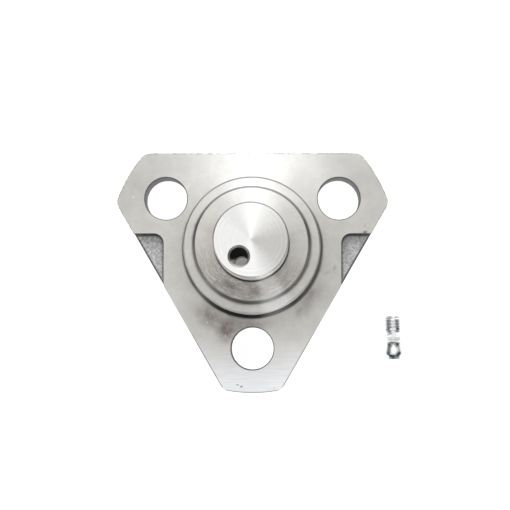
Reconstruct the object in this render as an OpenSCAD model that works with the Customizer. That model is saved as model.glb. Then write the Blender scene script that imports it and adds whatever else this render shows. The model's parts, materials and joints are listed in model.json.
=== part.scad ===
// Axle pivot pin: a three-bolt flange, register boss, shoulder and journal in
// one steel piece, with a grease nipple lying loose beside it.
// Origin: on the pin's axis, in the machined face of the flange.
// +Z points along the pin, -Y points at the lone bolt hole.

/* [Flange] */
// Thickness of the flange
flange_t = 12; // [10:0.5:16]
// Distance from the axis to each of the three long sides
side_reach = 31.6; // [29:0.1:34]
// Radius of the turned corners, measured from the axis
corner_reach = 47.6; // [45:0.1:52]
// Rounding where a long side meets a turned corner
corner_blend_r = 4; // [2:0.5:6]

/* [Bolt holes] */
// Number of bolt holes, one in each corner
bolt_n = 3; // [3:1:3]
// Diameter of the bolt circle
bolt_pcd = 66; // [64:0.5:68]
// Diameter of each bolt hole
bolt_hole_d = 14; // [11:0.5:15]
// Edge break at the mouth of each bolt hole
bolt_hole_break = 0.2; // [0.1:0.1:0.8]
// Diameter of the spot-face for a bolt head, on the back
spotface_d = 24; // [20:0.5:25]
// Depth of the spot-faces on the back
spotface_depth = 0.6; // [0.2:0.1:1.5]

/* [Pry pockets] */
// Distance from the pin's axis to the pocket's long wall
pocket_wall_x = 29.3; // [27:0.1:31]
// Height of the pocket's short wall above the axis
pocket_wall_y = 5; // [2:0.1:7]
// Depth of the pocket below the machined face
pocket_depth = 5; // [4:0.1:8]
// Radius of the pocket's inner corner
pocket_corner_r = 3.3; // [1:0.1:5]
// Cast rounding where the pocket's floor meets the flange's side
pocket_edge_r = 1; // [0.4:0.1:2]

/* [Register boss] */
// Diameter of the boss that locates the flange in its bore
boss_d = 44; // [42:0.1:46]
// Height of the boss above the machined face
boss_h = 17.5; // [12:0.1:22]
// Edge break at the top of the boss
boss_break = 0.5; // [0.2:0.1:1.2]
// Fillet at the foot of the boss
boss_fillet_r = 1.8; // [0.8:0.1:2.5]

/* [Shoulder] */
// Diameter of the shoulder
shoulder_d = 35.8; // [33:0.1:38]
// Height of the shoulder above the boss
shoulder_h = 5.8; // [4:0.1:10]
// Edge break at the top of the shoulder
shoulder_break = 0.1; // [0.1:0.05:0.8]
// Fillet at the foot of the shoulder
shoulder_fillet_r = 1.7; // [0.6:0.1:2]

/* [Journal] */
// Diameter of the journal that the axle turns on
journal_d = 23.2; // [22:0.1:26]
// Length of the journal above the shoulder
journal_l = 19.5; // [14:0.1:26]
// Edge break at the end of the journal
journal_break = 0.4; // [0.2:0.1:1.2]
// Fillet at the foot of the journal
journal_fillet_r = 0.7; // [0.3:0.1:1.2]

/* [Grease passage] */
// Diameter of the passage that runs the length of the pin
passage_d = 5.4; // [5.1:0.1:6]
// Distance of the passage from the pin's axis
passage_off = 6.2; // [5:0.1:7.5]
// Direction of the passage, counted from +X
passage_angle = 235; // [0:1:359]
// Diameter of the countersink in the pin's end
passage_mouth_d = 6.9; // [6.2:0.1:8]
// Diameter of the tapping hole for the nipple, in the back
port_d = 5; // [4:0.1:5]
// Depth of the tapping hole
port_depth = 10; // [7:0.5:14]
// Diameter of the seat that the nipple's hexagon tightens on
port_seat_d = 11; // [9:0.5:12]

/* [Grease nipple] */
// Outer diameter of the nipple's thread
thread_d = 6; // [5.5:0.1:6.5]
// Length of the thread, with its lead-in
thread_l = 5.5; // [4.5:0.1:7]
// Length of the thread's tapered lead-in
lead_l = 1; // [0.5:0.1:1.5]
// Width of the hexagon across its flats
hex_af = 7; // [7:0.1:8]
// Length of the hexagon, with both its chamfers
hex_l = 3.6; // [3.2:0.1:5]
// Diameter of the neck that the gun's jaws close behind
neck_d = 4.9; // [4.7:0.1:5.4]
// Length of the neck
neck_l = 0.9; // [0.5:0.1:1.5]
// Largest diameter of the head
head_d = 6.5; // [6:0.1:6.8]
// Length of the flare from the neck to the head
flare_l = 2; // [1.2:0.1:2.5]
// Length of the head's straight rim
rim_l = 1.1; // [0.6:0.1:1.6]
// Length of the head's taper, to its tip
tip_l = 1.4; // [1:0.1:2]
// Diameter of the flat at the tip
tip_d = 4; // [3.5:0.1:4.6]

/* [Nipple valve] */
// Diameter of the check ball
ball_d = 2.5; // [2.3:0.05:2.6]
// Running gap between the ball and its bore, on the radius
ball_bore_gap = 0.2; // [0.1:0.05:0.25]
// Gap between the ball and its seat, and between the spring and what it bears on
seat_gap = 0.05; // [0.02:0.01:0.1]
// Diameter of the orifice that the ball closes
orifice_d = 1.8; // [1.4:0.1:2]
// Depth of the orifice's seat below the tip
orifice_l = 0.9; // [0.6:0.1:1.2]
// Thickness of the lip that is turned in behind the spring
lip_t = 0.5; // [0.3:0.1:0.8]
// Opening that the lip leaves for the grease
lip_d = 1.7; // [1.4:0.1:1.8]
// Thickness of the spring's wire
wire_d = 0.3; // [0.2:0.05:0.4]
// Diameter of the spring, measured between wire centres
coil_d = 2.1; // [1.9:0.05:2.15]
// Number of turns of the spring
coil_n = 9; // [6:1:11]

/* [Where the nipple lies] */
// Middle of the nipple, to the right of the axis
nipple_x = 46.9; // [44:0.1:60]
// Middle of the nipple, below the axis in the view along the pin
nipple_y = -29.4; // [-45:0.1:-24]
// Turn of the nipple away from the flange's upright
nipple_turn = 1.7; // [-20:0.1:20]

/* [Hidden] */
$fn = 96;

// Cutters and joined pieces run past each other by this much
over = 0.5;

// Heights of the turned faces above the machined face
boss_top = boss_h;
shoulder_top = boss_top + shoulder_h;
pin_end = shoulder_top + journal_l;
passage_pos = passage_off * [cos(passage_angle), sin(passage_angle)];

// The circle that blends a long side into a turned corner, in the frame of
// that side: x runs outwards, y along the side
blend_x = side_reach - corner_blend_r;
blend_y = sqrt(pow(corner_reach - corner_blend_r, 2) - pow(blend_x, 2));
blend_angle = atan2(blend_y, blend_x);
blend_cross = 0.01;
side_angles = [for (k = [0:bolt_n - 1]) 90 + k * 360 / bolt_n];
corner_angles = [for (a = side_angles) a + 180 / bolt_n];

// The nipple's own axis runs from the end of its thread, z = 0, to its tip
hex_z = thread_l;
neck_z = hex_z + hex_l;
flare_z = neck_z + neck_l;
rim_z = flare_z + flare_l;
taper_z = rim_z + rim_l;
nipple_l = taper_z + tip_l;
nipple_axis_z = hex_af / 2 - flange_t;
hex_corner_r = hex_af / 2 / cos(30);

// The ball rests on the edge of the orifice, less its gap
bore_d = ball_d + 2 * ball_bore_gap;
seat_z = nipple_l - orifice_l;
seat_cone_l = (bore_d - orifice_d) / 2;
ball_z = seat_z - sqrt(pow(ball_d / 2 + seat_gap, 2) - pow(orifice_d / 2, 2));
// The spring fills the bore from the lip to the back of the ball
spring_low = lip_t + wire_d / 2 + seat_gap;
spring_high = ball_z - sqrt(pow((ball_d + wire_d) / 2 + seat_gap, 2) - pow(coil_d / 2, 2));
RINGS_PER_TURN = 14;
WIRE_SIDES = 6;
// Share of a turn, at each end, over which the spring lies flat
CLOSED_TURN = 0.75;

// The flange's outline: a triangle whose corners are turned off on one
// circle, with each edge blended by an arc
module flange_outline() {
    difference() {
        intersection() {
            circle(corner_reach, $fn = 180);
            rotate(corner_angles[0]) circle(side_reach / cos(180 / bolt_n), $fn = bolt_n);
        }
        for (a = side_angles)
            for (s = [0, 1]) rotate(a) mirror([0, s]) edge_trim();
    }
}

// What the blend takes off between a long side and the turned corner. The
// blend's circle crosses both by a hair, so that it meets them in clean edges.
module edge_trim() {
    translate([blend_x, blend_y]) difference() {
        polygon(corner_reach * [[0, 0], [1, 0], [1, 1], [cos(blend_angle), sin(blend_angle)]]);
        circle(corner_blend_r + blend_cross);
    }
}

// One fillet's section: the web between a wall at x = 0 and a face at y = 0
module fillet_web(r) {
    difference() {
        translate([-over, -over]) square(r + over);
        translate([r, r]) circle(r, $fn = 64);
        translate([r, -over]) square([over, r + over]);
    }
}

// One turned step: a wall of diameter d from the face at z0 up to z1, with
// its edge broken at the top and its foot filleted
module turned_step(d, z0, z1, edge_break, fillet_r) {
    rotate_extrude($fn = 180) {
        polygon([
            [0, z0 - over], [d / 2, z0 - over], [d / 2, z1 - edge_break],
            [d / 2 - edge_break, z1], [0, z1]
        ]);
        translate([d / 2, z0]) fillet_web(fillet_r);
    }
}

module bolt_hole() {
    cylinder(h = 3 * flange_t, d = bolt_hole_d, center = true);
    translate([0, 0, -bolt_hole_break])
        cylinder(h = bolt_hole_break + over, d1 = bolt_hole_d,
                 d2 = bolt_hole_d + 2 * (bolt_hole_break + over));
    translate([0, 0, -flange_t - over]) cylinder(h = over + spotface_depth, d = spotface_d);
}

// The pocket seen from above, on the +X side, open to the slanting long side
module pocket_outline() {
    far = corner_reach + over;
    translate([pocket_wall_x, -far]) square([far, far + pocket_wall_y - pocket_corner_r]);
    translate([pocket_wall_x + pocket_corner_r, -far]) square([far, far + pocket_wall_y]);
    translate([pocket_wall_x + pocket_corner_r, pocket_wall_y - pocket_corner_r])
        circle(pocket_corner_r, $fn = 48);
}

// The as-cast pocket, with its floor rounded off into the flange's side
module pry_pocket() {
    floor_z = -pocket_depth;
    translate([0, 0, floor_z]) linear_extrude(pocket_depth + over) pocket_outline();
    intersection() {
        translate([0, 0, floor_z - pocket_edge_r]) linear_extrude(pocket_edge_r + over)
            pocket_outline();
        rotate(90 - 360 / bolt_n) translate([side_reach - pocket_edge_r, 0, floor_z - pocket_edge_r])
            rotate([90, 0, 0]) linear_extrude(2 * corner_reach, center = true) difference() {
                square(pocket_edge_r + over);
                circle(pocket_edge_r, $fn = 64);
            }
    }
}

// Everything that is drilled along the passage's axis
module grease_passage() {
    mouth_l = (passage_mouth_d - passage_d) / 2;
    translate([passage_pos[0], passage_pos[1], 0]) {
        translate([0, 0, port_depth - flange_t])
            cylinder(h = pin_end + flange_t - port_depth + over, d = passage_d);
        translate([0, 0, -flange_t - over]) cylinder(h = port_depth + 2 * over, d = port_d);
        translate([0, 0, -flange_t - over]) cylinder(h = over + spotface_depth, d = port_seat_d);
        translate([0, 0, pin_end - mouth_l])
            cylinder(h = mouth_l + over, d1 = passage_d, d2 = passage_mouth_d + 2 * over);
    }
}

module pivot_pin() {
    color([0.78, 0.77, 0.75]) difference() {
        union() {
            translate([0, 0, -flange_t]) linear_extrude(flange_t) flange_outline();
            turned_step(boss_d, 0, boss_top, boss_break, boss_fillet_r);
            turned_step(shoulder_d, boss_top, shoulder_top, shoulder_break, shoulder_fillet_r);
            turned_step(journal_d, shoulder_top, pin_end, journal_break, journal_fillet_r);
        }
        for (a = corner_angles) rotate(a) translate([bolt_pcd / 2, 0, 0]) bolt_hole();
        for (side = [0, 1]) mirror([side, 0, 0]) pry_pocket();
        grease_passage();
    }
}

// Puts a shape drawn on the nipple's own axis where the nipple lies
module where_nipple_lies() {
    translate([nipple_x, nipple_y, nipple_axis_z]) rotate(nipple_turn) rotate([90, 0, 0])
        translate([0, 0, -nipple_l / 2]) children();
}

// The hexagon, with both ends chamfered down to the thread's diameter
module nipple_hexagon() {
    chamfer = hex_corner_r - thread_d / 2;
    intersection() {
        translate([0, 0, hex_z]) cylinder(h = hex_l, r = hex_corner_r, $fn = 6);
        rotate_extrude() polygon([
            [0, hex_z], [thread_d / 2, hex_z], [hex_corner_r, hex_z + chamfer],
            [hex_corner_r, neck_z - chamfer], [thread_d / 2, neck_z], [0, neck_z]
        ]);
    }
}

module nipple_body() {
    color([0.82, 0.84, 0.86]) where_nipple_lies() difference() {
        union() {
            rotate_extrude() polygon([
                [0, 0], [thread_d / 2 - lead_l, 0], [thread_d / 2, lead_l],
                [thread_d / 2, hex_z + over], [0, hex_z + over]
            ]);
            nipple_hexagon();
            rotate_extrude() polygon([
                [0, neck_z - over], [neck_d / 2, neck_z - over], [neck_d / 2, flare_z],
                [head_d / 2, rim_z], [head_d / 2, taper_z], [tip_d / 2, nipple_l], [0, nipple_l]
            ]);
        }
        translate([0, 0, -over]) cylinder(h = over + 2 * lip_t, d = lip_d);
        translate([0, 0, lip_t]) cylinder(h = seat_z - seat_cone_l - lip_t, d = bore_d);
        translate([0, 0, seat_z - seat_cone_l])
            cylinder(h = seat_cone_l, d1 = bore_d, d2 = orifice_d);
        translate([0, 0, seat_z - over]) cylinder(h = orifice_l + 2 * over, d = orifice_d);
    }
}

module nipple_ball() {
    color([0.6, 0.61, 0.63]) where_nipple_lies()
        translate([0, 0, ball_z]) sphere(d = ball_d, $fn = 64);
}

// Height of the spring's wire after u of its turns: flat at both ends
function wire_z(u) =
    let (live = coil_n - 2 * CLOSED_TURN)
    let (share = max(0, min(1, (u - CLOSED_TURN) / live)))
    let (closed = wire_d * 1.02 * (min(u, CLOSED_TURN) + max(0, u - coil_n + CLOSED_TURN)))
    let (rise = spring_high - spring_low - 2 * CLOSED_TURN * wire_d * 1.02)
    spring_low + closed + rise * share;

module nipple_spring() {
    rings = coil_n * RINGS_PER_TURN;
    ring_pts = [
        for (i = [0:rings])
            for (j = [0:WIRE_SIDES - 1])
                let (u = i / RINGS_PER_TURN, a = 360 * j / WIRE_SIDES)
                let (r = coil_d / 2 + wire_d / 2 * cos(a))
                [r * cos(360 * u), r * sin(360 * u), wire_z(u) + wire_d / 2 * sin(a)]
    ];
    walls = [
        for (i = [0:rings - 1])
            for (j = [0:WIRE_SIDES - 1])
                let (k = (j + 1) % WIRE_SIDES)
                [i * WIRE_SIDES + j, (i + 1) * WIRE_SIDES + j,
                 (i + 1) * WIRE_SIDES + k, i * WIRE_SIDES + k]
    ];
    first_end = [for (j = [0:WIRE_SIDES - 1]) j];
    last_end = [for (j = [WIRE_SIDES - 1:-1:0]) rings * WIRE_SIDES + j];
    color([0.7, 0.7, 0.72]) where_nipple_lies()
        polyhedron(ring_pts, concat(walls, [first_end, last_end]));
}

pivot_pin();
nipple_body();
nipple_ball();
nipple_spring();
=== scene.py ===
# %% [markdown]
# # An axle pivot pin and its grease nipple
# This notebook dresses a finished CAD model for a product picture. The pin is one piece of
# steel: a three-cornered flange, a register boss, a shoulder and a journal, all turned on a
# lathe. A small zinc-plated grease nipple lies beside it. The CAD pin and ball keep their shape
# and get their metals. The nipple is modelled again, with its thread, and its spring becomes a
# copy that can shorten. Then the studio is set up.

# %% load the model
import json
import math

import bpy
from mathutils import Matrix, Vector
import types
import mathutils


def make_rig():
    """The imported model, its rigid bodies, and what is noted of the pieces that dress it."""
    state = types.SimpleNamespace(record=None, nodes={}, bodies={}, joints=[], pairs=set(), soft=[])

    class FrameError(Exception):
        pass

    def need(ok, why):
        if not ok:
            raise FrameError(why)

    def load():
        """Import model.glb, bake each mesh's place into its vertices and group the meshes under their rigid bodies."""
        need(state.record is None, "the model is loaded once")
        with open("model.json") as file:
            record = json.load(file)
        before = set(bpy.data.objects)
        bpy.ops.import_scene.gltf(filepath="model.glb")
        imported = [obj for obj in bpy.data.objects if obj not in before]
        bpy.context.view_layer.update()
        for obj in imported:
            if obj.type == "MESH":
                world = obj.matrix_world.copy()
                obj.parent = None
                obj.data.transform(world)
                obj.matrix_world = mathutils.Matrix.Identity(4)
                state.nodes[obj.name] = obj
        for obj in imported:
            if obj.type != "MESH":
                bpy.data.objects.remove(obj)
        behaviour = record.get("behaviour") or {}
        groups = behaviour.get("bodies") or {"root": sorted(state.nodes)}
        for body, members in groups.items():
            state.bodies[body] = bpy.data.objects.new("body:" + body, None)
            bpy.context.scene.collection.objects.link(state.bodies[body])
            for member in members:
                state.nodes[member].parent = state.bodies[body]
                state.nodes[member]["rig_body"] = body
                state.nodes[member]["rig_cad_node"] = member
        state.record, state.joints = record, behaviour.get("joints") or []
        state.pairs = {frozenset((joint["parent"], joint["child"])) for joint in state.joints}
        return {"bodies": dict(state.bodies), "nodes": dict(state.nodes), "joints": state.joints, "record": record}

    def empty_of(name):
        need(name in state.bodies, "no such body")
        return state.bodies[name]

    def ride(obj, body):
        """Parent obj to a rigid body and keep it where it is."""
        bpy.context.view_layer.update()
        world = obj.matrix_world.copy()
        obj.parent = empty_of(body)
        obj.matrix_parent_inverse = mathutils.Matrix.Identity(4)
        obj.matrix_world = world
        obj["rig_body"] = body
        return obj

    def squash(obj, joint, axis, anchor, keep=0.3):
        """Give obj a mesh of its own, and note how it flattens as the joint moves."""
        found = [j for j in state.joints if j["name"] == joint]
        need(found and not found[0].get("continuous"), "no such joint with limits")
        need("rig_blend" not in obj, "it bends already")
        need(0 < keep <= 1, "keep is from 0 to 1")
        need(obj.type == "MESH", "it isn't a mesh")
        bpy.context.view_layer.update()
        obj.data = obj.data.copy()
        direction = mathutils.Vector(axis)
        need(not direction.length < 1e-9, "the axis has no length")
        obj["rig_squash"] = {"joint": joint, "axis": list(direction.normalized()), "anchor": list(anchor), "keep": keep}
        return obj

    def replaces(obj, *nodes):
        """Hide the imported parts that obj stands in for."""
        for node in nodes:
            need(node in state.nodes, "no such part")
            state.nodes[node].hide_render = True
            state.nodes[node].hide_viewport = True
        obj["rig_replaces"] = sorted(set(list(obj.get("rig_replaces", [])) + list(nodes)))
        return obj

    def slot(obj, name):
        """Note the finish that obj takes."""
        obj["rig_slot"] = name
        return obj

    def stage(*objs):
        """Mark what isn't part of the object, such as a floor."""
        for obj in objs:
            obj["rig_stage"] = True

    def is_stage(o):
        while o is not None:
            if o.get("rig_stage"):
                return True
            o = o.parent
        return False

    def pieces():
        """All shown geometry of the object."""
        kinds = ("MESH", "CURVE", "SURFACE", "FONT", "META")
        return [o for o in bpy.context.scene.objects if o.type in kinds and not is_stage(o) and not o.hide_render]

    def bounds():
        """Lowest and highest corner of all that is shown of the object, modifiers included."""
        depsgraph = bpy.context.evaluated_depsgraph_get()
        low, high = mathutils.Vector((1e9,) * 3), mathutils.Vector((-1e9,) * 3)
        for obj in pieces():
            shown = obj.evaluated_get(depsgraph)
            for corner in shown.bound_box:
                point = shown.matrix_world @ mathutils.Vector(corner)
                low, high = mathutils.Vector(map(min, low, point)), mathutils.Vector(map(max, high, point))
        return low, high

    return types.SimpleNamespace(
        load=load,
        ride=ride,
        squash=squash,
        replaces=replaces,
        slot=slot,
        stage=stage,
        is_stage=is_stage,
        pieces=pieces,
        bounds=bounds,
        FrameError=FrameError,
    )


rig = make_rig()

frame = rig.load()
nodes = frame["nodes"]
bounds_at_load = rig.bounds()
print("parts:", sorted(nodes))
print("size in mm:", [round(1000 * s, 1) for s in bounds_at_load[1] - bounds_at_load[0]])

# %% [markdown]
# ## Sizes that the finishes need
# The finishes below change at real edges: at the foot of each turned step, in the bolt holes
# and in the cast pockets. Blender works in metres and a machinist in millimetres, so all
# lengths here are millimetres and are turned into metres in one place.

# %% sizes in millimetres
MM = 0.001


def round_the_axis(radius, degrees):
    """The x and y of a spot at a radius and a direction from the axis."""
    return radius * math.cos(math.radians(degrees)), radius * math.sin(math.radians(degrees))


FLANGE_T, SIDE_REACH, CORNER_REACH = 12.0, 31.6, 47.6
BOSS_R = 22.0
BOSS_TOP, SHOULDER_TOP, PIN_END = 17.5, 23.3, 42.8
BOLT_R, BOLT_HOLE_R = 33.0, 7.0
HOLES = [round_the_axis(BOLT_R, degrees) for degrees in (150, 270, 30)]
POCKET_X, POCKET_Y, POCKET_R, POCKET_DEPTH = 29.3, 5.0, 3.3, 5.0
PASSAGE, PASSAGE_R = round_the_axis(6.2, 235), 2.7
PORT_DEPTH = 10.0
print("bolt holes at", [(round(x, 1), round(y, 1)) for x, y in HOLES])

# %% sizes of the nipple in millimetres
NIPPLE_X, NIPPLE_Y, NIPPLE_TURN = 46.9, -29.4, math.radians(1.7)
NIPPLE_L, THREAD_L = 14.5, 5.5
HEX_AF, HEX_L = 7.0, 3.6
NECK_Z = THREAD_L + HEX_L
NIPPLE_AXIS_Z = HEX_AF / 2 - FLANGE_T
print("the nipple's axis lies at z", NIPPLE_AXIS_Z, "and its neck starts", NECK_Z, "along it")

# %% [markdown]
# ## The camera
# The photograph was taken from about half a metre above the flange, looking almost straight
# down. A long lens would show only flat rings. Here the pin's end is nearer the camera than the
# flange, so it looks 9 percent larger and sits a little up and left of the flange's centre. The
# camera stands over the spot where upright edges vanish, and looks at the picture's middle.

# %% place the camera
camera = bpy.data.objects.new("camera", bpy.data.cameras.new("camera"))
bpy.context.scene.collection.objects.link(camera)
bpy.context.scene.camera = camera
camera.data.sensor_width = 36
camera.data.lens = 110.15
camera.data.clip_start, camera.data.clip_end = 0.02, 20
camera_spot = Vector((6.5, -32.0, 514.0)) * MM
looks_at = Vector((0.86, -2.2, 0.0)) * MM
backwards = (camera_spot - looks_at).normalized()
rightwards = Vector((0, 1, 0)).cross(backwards).normalized()
upwards = backwards.cross(rightwards)
camera.location = camera_spot
camera.rotation_euler = Matrix((rightwards, upwards, backwards)).transposed().to_euler()
tilt = math.degrees(backwards.angle(Vector((0, 0, 1))))
print("camera looks down within", round(tilt, 2), "degrees")

# %% [markdown]
# ## Helpers for node materials
# A material is a small network. Each of these helpers adds a node or a few and returns the
# output, so that a recipe reads from top to bottom. An input is a plain value or an output.

# %% node helpers: numbers and places
def feed(tree, socket, value):
    """Links a node's output to the socket, or sets the socket to a plain value."""
    if isinstance(value, bpy.types.NodeSocket):
        tree.links.new(value, socket)
    elif value is not None:
        socket.default_value = value


def add(tree, kind, inputs=None, **settings):
    """Adds a node. Its settings come first, because they decide which inputs it has."""
    node = tree.nodes.new("ShaderNode" + kind)
    for name, value in settings.items():
        setattr(node, name, value)
    for name, value in (inputs or {}).items():
        feed(tree, node.inputs[name], value)
    return node


def calc(tree, operation, a, b=None, c=None):
    node = add(tree, "Math", operation=operation)
    for socket, value in zip(node.inputs, (a, b, c)):
        feed(tree, socket, value)
    return node.outputs[0]


def vector_calc(tree, operation, a, b=None, scale=None):
    """Arithmetic on places and directions. LENGTH gives a number, all else a vector."""
    node = add(tree, "VectorMath", {0: a, 1: b}, operation=operation)
    if scale is not None:
        feed(tree, node.inputs["Scale"], scale)
    return node.outputs["Value" if operation == "LENGTH" else "Vector"]


def vector_of(tree, x=0.0, y=0.0, z=0.0):
    return add(tree, "CombineXYZ", {0: x, 1: y, 2: z}).outputs[0]


def xyz_of(tree, vector):
    return add(tree, "SeparateXYZ", {0: vector}).outputs


def millimetres(tree):
    """The place on the object in millimetres, which stays put when the object moves."""
    return vector_calc(tree, "SCALE", add(tree, "TexCoord").outputs["Object"], scale=1 / MM)


def facing_up(tree):
    """1 where the surface faces up, 0 on a wall and -1 underneath."""
    return xyz_of(tree, add(tree, "TexCoord").outputs["Normal"])[2]


def noise(tree, place, scale=1.0, detail=2.0, rough=0.5, dimensions="3D"):
    """Noise over a place or, with dimensions="1D", along a number."""
    inputs = {"W" if dimensions == "1D" else "Vector": place,
              "Scale": scale, "Detail": detail, "Roughness": rough}
    return add(tree, "TexNoise", inputs, noise_dimensions=dimensions).outputs[0]


print("helpers for numbers and places ready")

# %% node helpers: masks and colours
def between(tree, value, low, high):
    """0 below low, 1 above high, and a soft step from one to the other. Give high first for the reverse."""
    turned = low > high
    node = add(tree, "MapRange", {
        "Value": value, "From Min": min(low, high), "From Max": max(low, high),
        "To Min": 1.0 if turned else 0.0, "To Max": 0.0 if turned else 1.0,
    }, interpolation_type="SMOOTHSTEP")
    return node.outputs["Result"]


def both(tree, *masks):
    """The masks multiplied: strong only where all of them are."""
    result = masks[0]
    for mask in masks[1:]:
        result = calc(tree, "MULTIPLY", result, mask)
    return result


def either(tree, *masks):
    """The largest of the masks: strong where any of them is."""
    result = masks[0]
    for mask in masks[1:]:
        result = calc(tree, "MAXIMUM", result, mask)
    return result


def stretch(tree, value, start, full, fade, end):
    """1 from full to fade, and a soft step to 0 towards start and towards end."""
    return both(tree, between(tree, value, start, full), between(tree, value, end, fade))


def blend_colours(tree, share, a, b, blend_type="MIX"):
    """Colour a where the share is 0, and colour b (or a times b) where it is 1."""
    node = add(tree, "Mix", data_type="RGBA", blend_type=blend_type)
    for index, value in ((0, share), (6, a), (7, b)):
        feed(tree, node.inputs[index], value)
    return node.outputs[2]


def paint(tree, base, colour, mask, strength=1.0):
    """The base with a colour over it, where the mask lies and as strong as strength."""
    share = mask if strength == 1.0 else calc(tree, "MULTIPLY", mask, strength)
    return blend_colours(tree, share, base, colour)


def shaded(tree, colour, by):
    """The colour multiplied by another, which darkens it below 1 and brightens it above."""
    return blend_colours(tree, 1.0, colour, by, "MULTIPLY")


def grey(level):
    return (level, level, level, 1.0)


print("helpers for masks and colours ready")

# %% node helpers: materials and groups
def new_material(name, roughness=0.5, metallic=1.0):
    material = bpy.data.materials.new(name)
    material.use_nodes = True
    tree = material.node_tree
    tree.nodes.clear()
    output = add(tree, "OutputMaterial")
    shader = add(tree, "BsdfPrincipled")
    tree.links.new(shader.outputs["BSDF"], output.inputs["Surface"])
    shader.inputs["Metallic"].default_value = metallic
    shader.inputs["Roughness"].default_value = roughness
    return material, tree, shader


def new_group(name, inputs, outputs):
    group = bpy.data.node_groups.new(name, "ShaderNodeTree")
    for label, kind in inputs:
        group.interface.new_socket(label, in_out="INPUT", socket_type="NodeSocket" + kind)
    for label, kind in outputs:
        group.interface.new_socket(label, in_out="OUTPUT", socket_type="NodeSocket" + kind)
    return group, group.nodes.new("NodeGroupInput").outputs, group.nodes.new("NodeGroupOutput").inputs


def use_group(tree, group, **inputs):
    node = tree.nodes.new("ShaderNodeGroup")
    node.node_tree = group
    for name, value in inputs.items():
        feed(tree, node.inputs[name], value)
    return node


print("helpers for materials and groups ready")

# %% [markdown]
# ## Lathe marks
# A turning tool leaves a fine spiral on every face it cuts. From above it reads as rings, and
# the light breaks into rays that cross them. A picture texture would repeat and blur, so both
# come from noise: the rings from noise along the distance to the axis, the rays from noise on
# the direction from the axis. The pin uses the group twice, for fine marks and for coarse ones.

# %% group: lathe marks
lathe_marks, given, result = new_group(
    "lathe marks", [("Place", "Vector"), ("Spacing", "Float")],
    [("Distance", "Float"), ("Direction", "Vector"), ("Rings", "Float"), ("Rays", "Float"),
     ("Dashes", "Float")])
t = lathe_marks
parts = xyz_of(t, given["Place"])
flat = vector_of(t, parts[0], parts[1])
distance = vector_calc(t, "LENGTH", flat)
direction = vector_calc(t, "NORMALIZE", flat)
steps = calc(t, "DIVIDE", distance, given["Spacing"])
fine = noise(t, steps, detail=3.0, rough=0.65, dimensions="1D")
breaks = noise(t, given["Place"], scale=0.35)
how_strong = calc(t, "MULTIPLY_ADD", breaks, 1.2, 0.3)
rings = calc(t, "MULTIPLY_ADD", calc(t, "SUBTRACT", fine, 0.5), how_strong, 0.5)
round_place = xyz_of(t, direction)


def on_the_circle(around, outwards):
    """A place for noise that runs so many times round the circle, and outwards with the distance."""
    return vector_of(t, calc(t, "MULTIPLY", round_place[0], around),
                     calc(t, "MULTIPLY", round_place[1], around), outwards)


rays = noise(t, on_the_circle(6.0, calc(t, "MULTIPLY", distance, 0.05)), detail=4.0, rough=0.6)
dashes = noise(t, on_the_circle(5.0, steps), rough=0.8)
for label, value in (("Distance", distance), ("Direction", direction), ("Rings", rings),
                     ("Rays", rays), ("Dashes", dashes)):
    t.links.new(value, result[label])
print("lathe marks:", len(t.nodes), "nodes")

# %% [markdown]
# ## Smudges, nicks, painted glints and painted shade
# A part that has been handled has finger marks, small dents and stains. Each is a soft spot with
# a torn edge, at a place, a size and a turn of its own. One group makes the spot's mask; each
# use adds its own colour. The same spots also lay painted glints and painted shade.

# %% group: soft spot
soft_spot, given, result = new_group(
    "soft_spot", [("Place", "Vector"), ("Middle", "Vector"), ("Half size", "Vector"), ("Turn", "Float"),
               ("Torn", "Float")], [("Mask", "Float")])
t = soft_spot
off = vector_calc(t, "SUBTRACT", given["Place"], given["Middle"])
turned = add(t, "VectorRotate", {"Vector": off, "Angle": calc(t, "MULTIPLY", given["Turn"], -1.0)},
             rotation_type="Z_AXIS").outputs[0]
shares = vector_calc(t, "DIVIDE", turned, given["Half size"])
reach = vector_calc(t, "LENGTH", shares)
tear = noise(t, shares, scale=1.3, detail=5.0, rough=0.62)
torn_reach = calc(t, "MULTIPLY_ADD", calc(t, "SUBTRACT", tear, 0.5), given["Torn"], reach)
cloud = noise(t, given["Place"], scale=0.45, detail=4.0, rough=0.6)
thin = calc(t, "MULTIPLY_ADD", between(t, cloud, 0.3, 0.6), 0.45, 0.55)
t.links.new(both(t, between(t, torn_reach, 1.1, 0.0), thin), result["Mask"])
print("smudge:", len(t.nodes), "nodes")

# %% [markdown]
# ## Cast skin
# The pockets, the sides and the back were never machined. They keep the grainy, shot-blasted
# skin of the casting: small bright facets between darker pits.

# %% group: cast skin
cast_skin, given, result = new_group(
    "cast skin", [("Place", "Vector")], [("Height", "Float"), ("Grain", "Float")])
t = cast_skin
cells = add(t, "TexVoronoi", {"Vector": given["Place"], "Scale": 1.9, "Randomness": 1.0}, feature="F1")
coarse = noise(t, given["Place"], scale=1.1, detail=4.0, rough=0.7)
height = calc(t, "ADD", calc(t, "MULTIPLY", cells.outputs["Distance"], 0.5), coarse)
speck = noise(t, given["Place"], scale=1.5, detail=3.0, rough=0.75)
t.links.new(height, result["Height"])
t.links.new(between(t, speck, 0.34, 0.64), result["Grain"])
print("cast skin:", len(t.nodes), "nodes")

# %% [markdown]
# ## The pin's steel
# One material covers the whole pin, because the pin is one piece. Masks, made from the place in
# millimetres and the way the surface faces, say where it is turned, drilled or cast. Each mask
# fades over a few hundredths or tenths of a millimetre, so that no edge is cut off hard.

# %% material: turned steel, where it is drilled
FINE_MARKS, COARSE_MARKS = 0.22, 0.7
steel, tree, steel_shader = new_material("turned steel")
place = millimetres(tree)
xyz = xyz_of(tree, place)
facing = facing_up(tree)
marks = use_group(tree, lathe_marks, Place=place, Spacing=FINE_MARKS).outputs
distance, direction = marks["Distance"], marks["Direction"]
rings, rays, dashes = marks["Rings"], marks["Rays"], marks["Dashes"]
coarse_marks = use_group(tree, lathe_marks, Place=place, Spacing=COARSE_MARKS).outputs


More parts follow.
